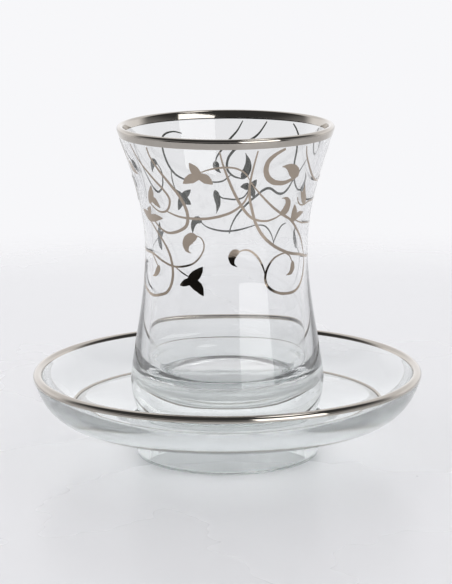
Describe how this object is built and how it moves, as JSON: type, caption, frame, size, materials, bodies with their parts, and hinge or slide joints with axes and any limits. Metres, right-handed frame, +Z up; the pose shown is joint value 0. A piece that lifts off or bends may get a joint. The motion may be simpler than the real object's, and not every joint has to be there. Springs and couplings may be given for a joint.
{
  "type": "tea glass with saucer",
  "caption": "Waisted clear glass for hot drinks with flared lip and solid base, standing in a round footed glass saucer; platinum rim bands, well line and scroll vine.",
  "frame": {"origin": "centre of the saucer's foot ring, on the surface that it stands on", "axes": "+Z up along the axis that saucer and glass are turned about; the front of the ornament faces -Y, +X to its right"},
  "size_m": [0.112, 0.112, 0.0955],
  "materials": {
    "clear_glass": "clear, fire polished",
    "saucer_glass": "clear, pressed and fire polished",
    "platinum": "fired-on platinum lustre, slightly brushed"
  },
  "bodies": {
    "saucer": {"saucer": "saucer_glass", "saucer_rim_band": "platinum", "saucer_well_line": "platinum"},
    "glass": {"tea_glass": "clear_glass", "glass_rim_band": "platinum", "front_vine": "platinum", "right_scroll": "platinum", "right_tendril": "platinum", "right_curl": "platinum", "right_side_scroll": "platinum", "back_vine": "platinum", "back_scroll": "platinum", "back_tendril": "platinum", "back_left_scroll": "platinum", "left_side_scroll": "platinum", "left_side_curl": "platinum", "left_tendril": "platinum"}
  },
  "joints": [
    {"name": "glass_lift", "type": "slide", "parent": "saucer", "child": "glass", "axis": [0, 0, 1], "range_m": [0, 0.06]}
  ]
}
